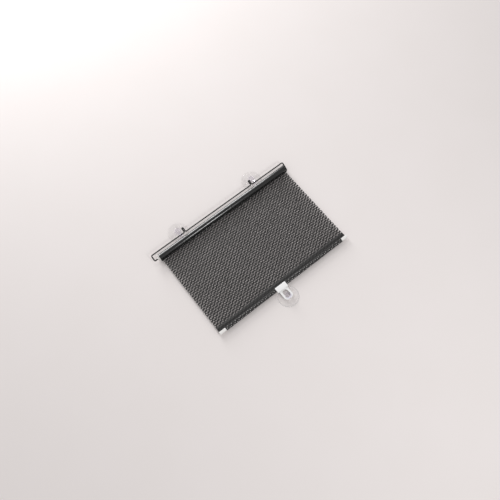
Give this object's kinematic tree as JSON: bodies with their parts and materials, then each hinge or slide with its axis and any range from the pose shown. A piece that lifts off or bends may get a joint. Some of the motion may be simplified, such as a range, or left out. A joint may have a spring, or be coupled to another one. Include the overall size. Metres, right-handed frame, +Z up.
{
  "type": "car side window sunshade",
  "caption": "Spring roller sunshade: perforated film drawn from a slotted tube, hung from a wire bail on suction cups, with a pull bar, clip and cup at the lower edge.",
  "frame": {"origin": "under the middle of the whole shade, on the surface that its suction cups lie on", "axes": "+X along the roller, towards the black end plug; +Y across it, from the pull bar to the bail; +Z up from the glass or table, through the cups"},
  "size_m": [0.4276, 0.3636, 0.0238],
  "materials": {
    "housing_gloss_black": "extruded, high gloss",
    "plug_white": "moulded, satin",
    "plug_black": "moulded, satin",
    "wire_black": "black dipped steel wire",
    "cup_clear": "clear soft PVC, glossy",
    "film_black": "perforated PVC film, low sheen",
    "bar_white": "extruded strip, satin",
    "clip_white": "moulded, satin",
    "roller_steel": "rolled tube",
    "spring_steel": "drawn wire",
    "bush_natural": "moulded, satin"
  },
  "bodies": {
    "housing": {"roller_housing": "housing_gloss_black", "left_end_plug": "plug_white", "right_end_plug": "plug_black", "spring_rod": "spring_steel", "spring_collar": "bush_natural", "torsion_spring": "spring_steel", "film_panel": "film_black"},
    "roller": {"roller_tube": "roller_steel", "film_turns": "film_black", "left_bush": "bush_natural", "right_bush": "bush_natural", "spring_anchor": "bush_natural"},
    "puller": {"film_hem": "film_black", "pull_bar": "bar_white", "bar_clip": "clip_white"},
    "lower_cup": {"bottom_cup": "cup_clear"},
    "bail": {"wire_bail": "wire_black"},
    "left_hanger": {"left_cup": "cup_clear"},
    "right_hanger": {"right_cup": "cup_clear"}
  },
  "joints": [
    {"name": "pull_out", "type": "slide", "parent": "housing", "child": "puller", "axis": [0, -1, 0], "range_m": [-0.2234, 0], "deforming": ["film_panel"]},
    {"name": "roller_turn", "type": "hinge", "parent": "housing", "child": "roller", "pos_m": [0.00535, 0.12391, 0.0094], "axis": [1, 0, 0], "range_deg": [0, 1945], "deforming": ["torsion_spring"]},
    {"name": "bail_swing", "type": "hinge", "parent": "housing", "child": "bail", "pos_m": [0, 0.12391, 0.0094], "axis": [1, 0, 0], "range_deg": [-60, 145]},
    {"name": "left_cup_swing", "type": "hinge", "parent": "bail", "child": "left_hanger", "pos_m": [-0.12, 0.13799, 0.01657], "axis": [1, 0, 0], "range_deg": [0, 90]},
    {"name": "right_cup_swing", "type": "hinge", "parent": "bail", "child": "right_hanger", "pos_m": [0.12, 0.13799, 0.01657], "axis": [1, 0, 0], "range_deg": [0, 90]},
    {"name": "bottom_cup_turn", "type": "hinge", "parent": "puller", "child": "lower_cup", "pos_m": [-0.00715, -0.15429, 0.0069], "axis": [0, 0, 1], "continuous": true}
  ],
  "couplings": [
    {"joint": "roller_turn", "follows": "pull_out", "rad_per_m": -151.6}
  ]
}
